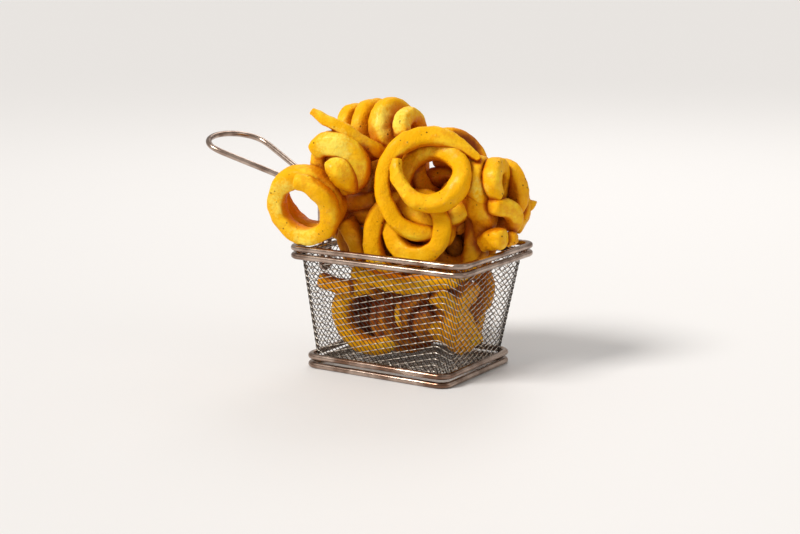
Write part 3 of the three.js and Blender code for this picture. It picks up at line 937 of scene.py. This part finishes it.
def mark_surfaces():
    """Stores how near each surface is to another fry and how much of what it faces is covered by fries, for
    painted shade, and how browned and painted in shade it is and how much painted highlight it gets."""
    spots, half, owner, ring = [np.array(column) for column in zip(*SPINES)]
    for number, (piece, brown_and_shade) in enumerate(FRIES):
        count = len(piece.data.vertices)
        places = np.empty(count * 3, dtype=np.float32)
        normals = np.empty(count * 3, dtype=np.float32)
        piece.data.vertices.foreach_get("co", places)
        piece.data.vertex_normals.foreach_get("vector", normals)
        places, normals = places.reshape(-1, 3), normals.reshape(-1, 3)
        offset = spots[None].astype(np.float32) - places[:, None]
        distance = np.linalg.norm(offset, axis=2)
        facing = np.einsum("vsk,vk->vs", offset, normals) / distance
        own = owner == number
        nearest = ring[own][distance[:, own].argmin(axis=1)]
        apart = ~own[None] | (np.abs(ring[None] - nearest[:, None]) > OWN_RINGS)
        gap = np.where(apart, distance - half[None], FAR).min(axis=1)
        share = 2 * half[None] * RING_STEP * np.clip(facing, 0, 1) / (math.pi * distance ** 2)
        covered = 1 - np.exp(-np.where(apart, share, 0.0).sum(axis=1))
        close = 1 - np.clip(gap / CREVICE_REACH, 0, 1)
        # Painted shade in the crevices and where other fries cover a surface, browning with painted shade,
        # and painted highlight
        store(piece, "crevice", close * close * (3 - 2 * close))
        store(piece, "covered", covered)
        store(piece, "crust", np.maximum(patches(places, BROWN_PATCHES), brown_and_shade))
        store(piece, "light", patches(places, PAINTED_HIGHLIGHT_PATCHES))


def join(name, pieces):
    """Makes fries one piece, which stands for the heap with the others."""
    bpy.ops.object.select_all(action="DESELECT")
    for piece in pieces:
        piece.select_set(True)
    bpy.context.view_layer.objects.active = pieces[0]
    bpy.ops.object.join()
    joined = bpy.context.object
    joined.name = name
    finished(joined, "fried_potato", "curly_fries")


def make_fries():
    for name, given in CURLS.items():
        curl(name, given)
    for name, (via, halves, brown_and_shade) in STRANDS.items():
        strand(name, via, halves, brown_and_shade)
    mark_surfaces()
    pieces = [piece for piece, _ in FRIES]
    curls = [piece for piece in pieces if piece.name in CURLS]
    hidden = [piece for piece in curls if piece.name.startswith(HIDDEN)]
    join("cut_pieces", [piece for piece in pieces if piece not in curls])
    join("front_curls", [piece for piece in curls if piece not in hidden])
    join("hidden_curls", hidden)
    cores = [core(name, middle, reach) for name, (middle, reach) in CORES.items()]
    # Painted shade: every shade and browning value is full on the buried middle
    for piece in cores:
        for name in ("crevice", "covered", "crust"):
            store(piece, name, np.ones(len(piece.data.vertices)))
    join("buried_fries", cores)
    bpy.data.objects.remove(SECTION)


# Floor, light and camera
AIM = Vector((-4.72, 0.035, 51.98))
EYE = Vector((450.64, -685.5, 219.47))
EYE_ROLL = math.radians(-0.629)
LENS = 72.0
SENSOR_WIDTH = 36.0
CLIP_NEAR, CLIP_FAR = 0.05, 20.0
FLOOR_RADIUS = 15.0
FLOOR_CORNERS = 96
LIT_PLACE = (0, 0, 70)  # the lamps point at it
SKY_STRENGTH = 0.55
KEY_SPREAD = math.radians(20)


def make_floor():
    bpy.ops.object.select_all(action="DESELECT")
    bpy.ops.mesh.primitive_circle_add(
        vertices=FLOOR_CORNERS, radius=FLOOR_RADIUS, fill_type="NGON", location=(0, 0, 0))
    floor = bpy.context.object
    floor.name = "floor"
    finish = Finish("pale_floor", Base_Color=rgb(230, 229, 229), Roughness=0.6)
    floor.data.materials.append(finish.material)


def direction(azimuth, elevation):
    """Points out towards a light. Azimuth 0 is in front of the long side."""
    a, e = math.radians(azimuth), math.radians(elevation)
    return Vector((math.sin(a) * math.cos(e), -math.cos(a) * math.cos(e), math.sin(e)))


def make_lamp(name, kind, azimuth, elevation, distance, **settings):
    """A lamp at a distance in metres from the middle of the heap, pointing at it."""
    data = bpy.data.lights.new(name, kind)
    for key, value in settings.items():
        setattr(data, key, value)
    light = bpy.data.objects.new(name, data)
    out = direction(azimuth, elevation)
    light.rotation_mode = "QUATERNION"
    light.rotation_quaternion = (-out).to_track_quat("-Z", "Y")
    light.location = place(*LIT_PLACE) + out * distance
    bpy.context.collection.objects.link(light)


def make_light():
    scene = bpy.context.scene
    world = bpy.data.worlds.new("studio")
    world.use_nodes = True
    sky = world.node_tree.nodes["Background"]
    sky.inputs["Color"].default_value = rgb(238, 235, 231)
    sky.inputs["Strength"].default_value = SKY_STRENGTH
    scene.world = world
    make_lamp("key", "SUN", azimuth=-30, elevation=46, distance=2.0,
              energy=2.7, color=(1.0, 0.97, 0.93), angle=KEY_SPREAD)
    make_lamp("side", "AREA", azimuth=95, elevation=30, distance=1.2,
              energy=0.8, color=(1.0, 0.97, 0.94), shape="DISK", size=0.6)
    make_lamp("back", "AREA", azimuth=200, elevation=45, distance=1.2,
              energy=2.5, color=(1.0, 0.98, 0.96), shape="DISK", size=0.5)
    scene.view_settings.view_transform = "Standard"
    scene.view_settings.look = "None"


def make_camera():
    data = bpy.data.cameras.new("camera")
    data.lens = LENS
    data.sensor_width = SENSOR_WIDTH
    data.clip_start, data.clip_end = CLIP_NEAR, CLIP_FAR
    camera = bpy.data.objects.new("camera", data)
    camera.rotation_mode = "QUATERNION"
    facing = (AIM - EYE).to_track_quat("-Z", "Y")
    camera.rotation_quaternion = facing @ Matrix.Rotation(EYE_ROLL, 3, "Z").to_quaternion()
    camera.location = place(*EYE)
    bpy.context.collection.objects.link(camera)
    bpy.context.scene.camera = camera


make_camera()
make_rims()
make_handle()
weave_walls()
weave_floor()
make_fries()
make_floor()
make_light()

bpy.context.view_layer.update()
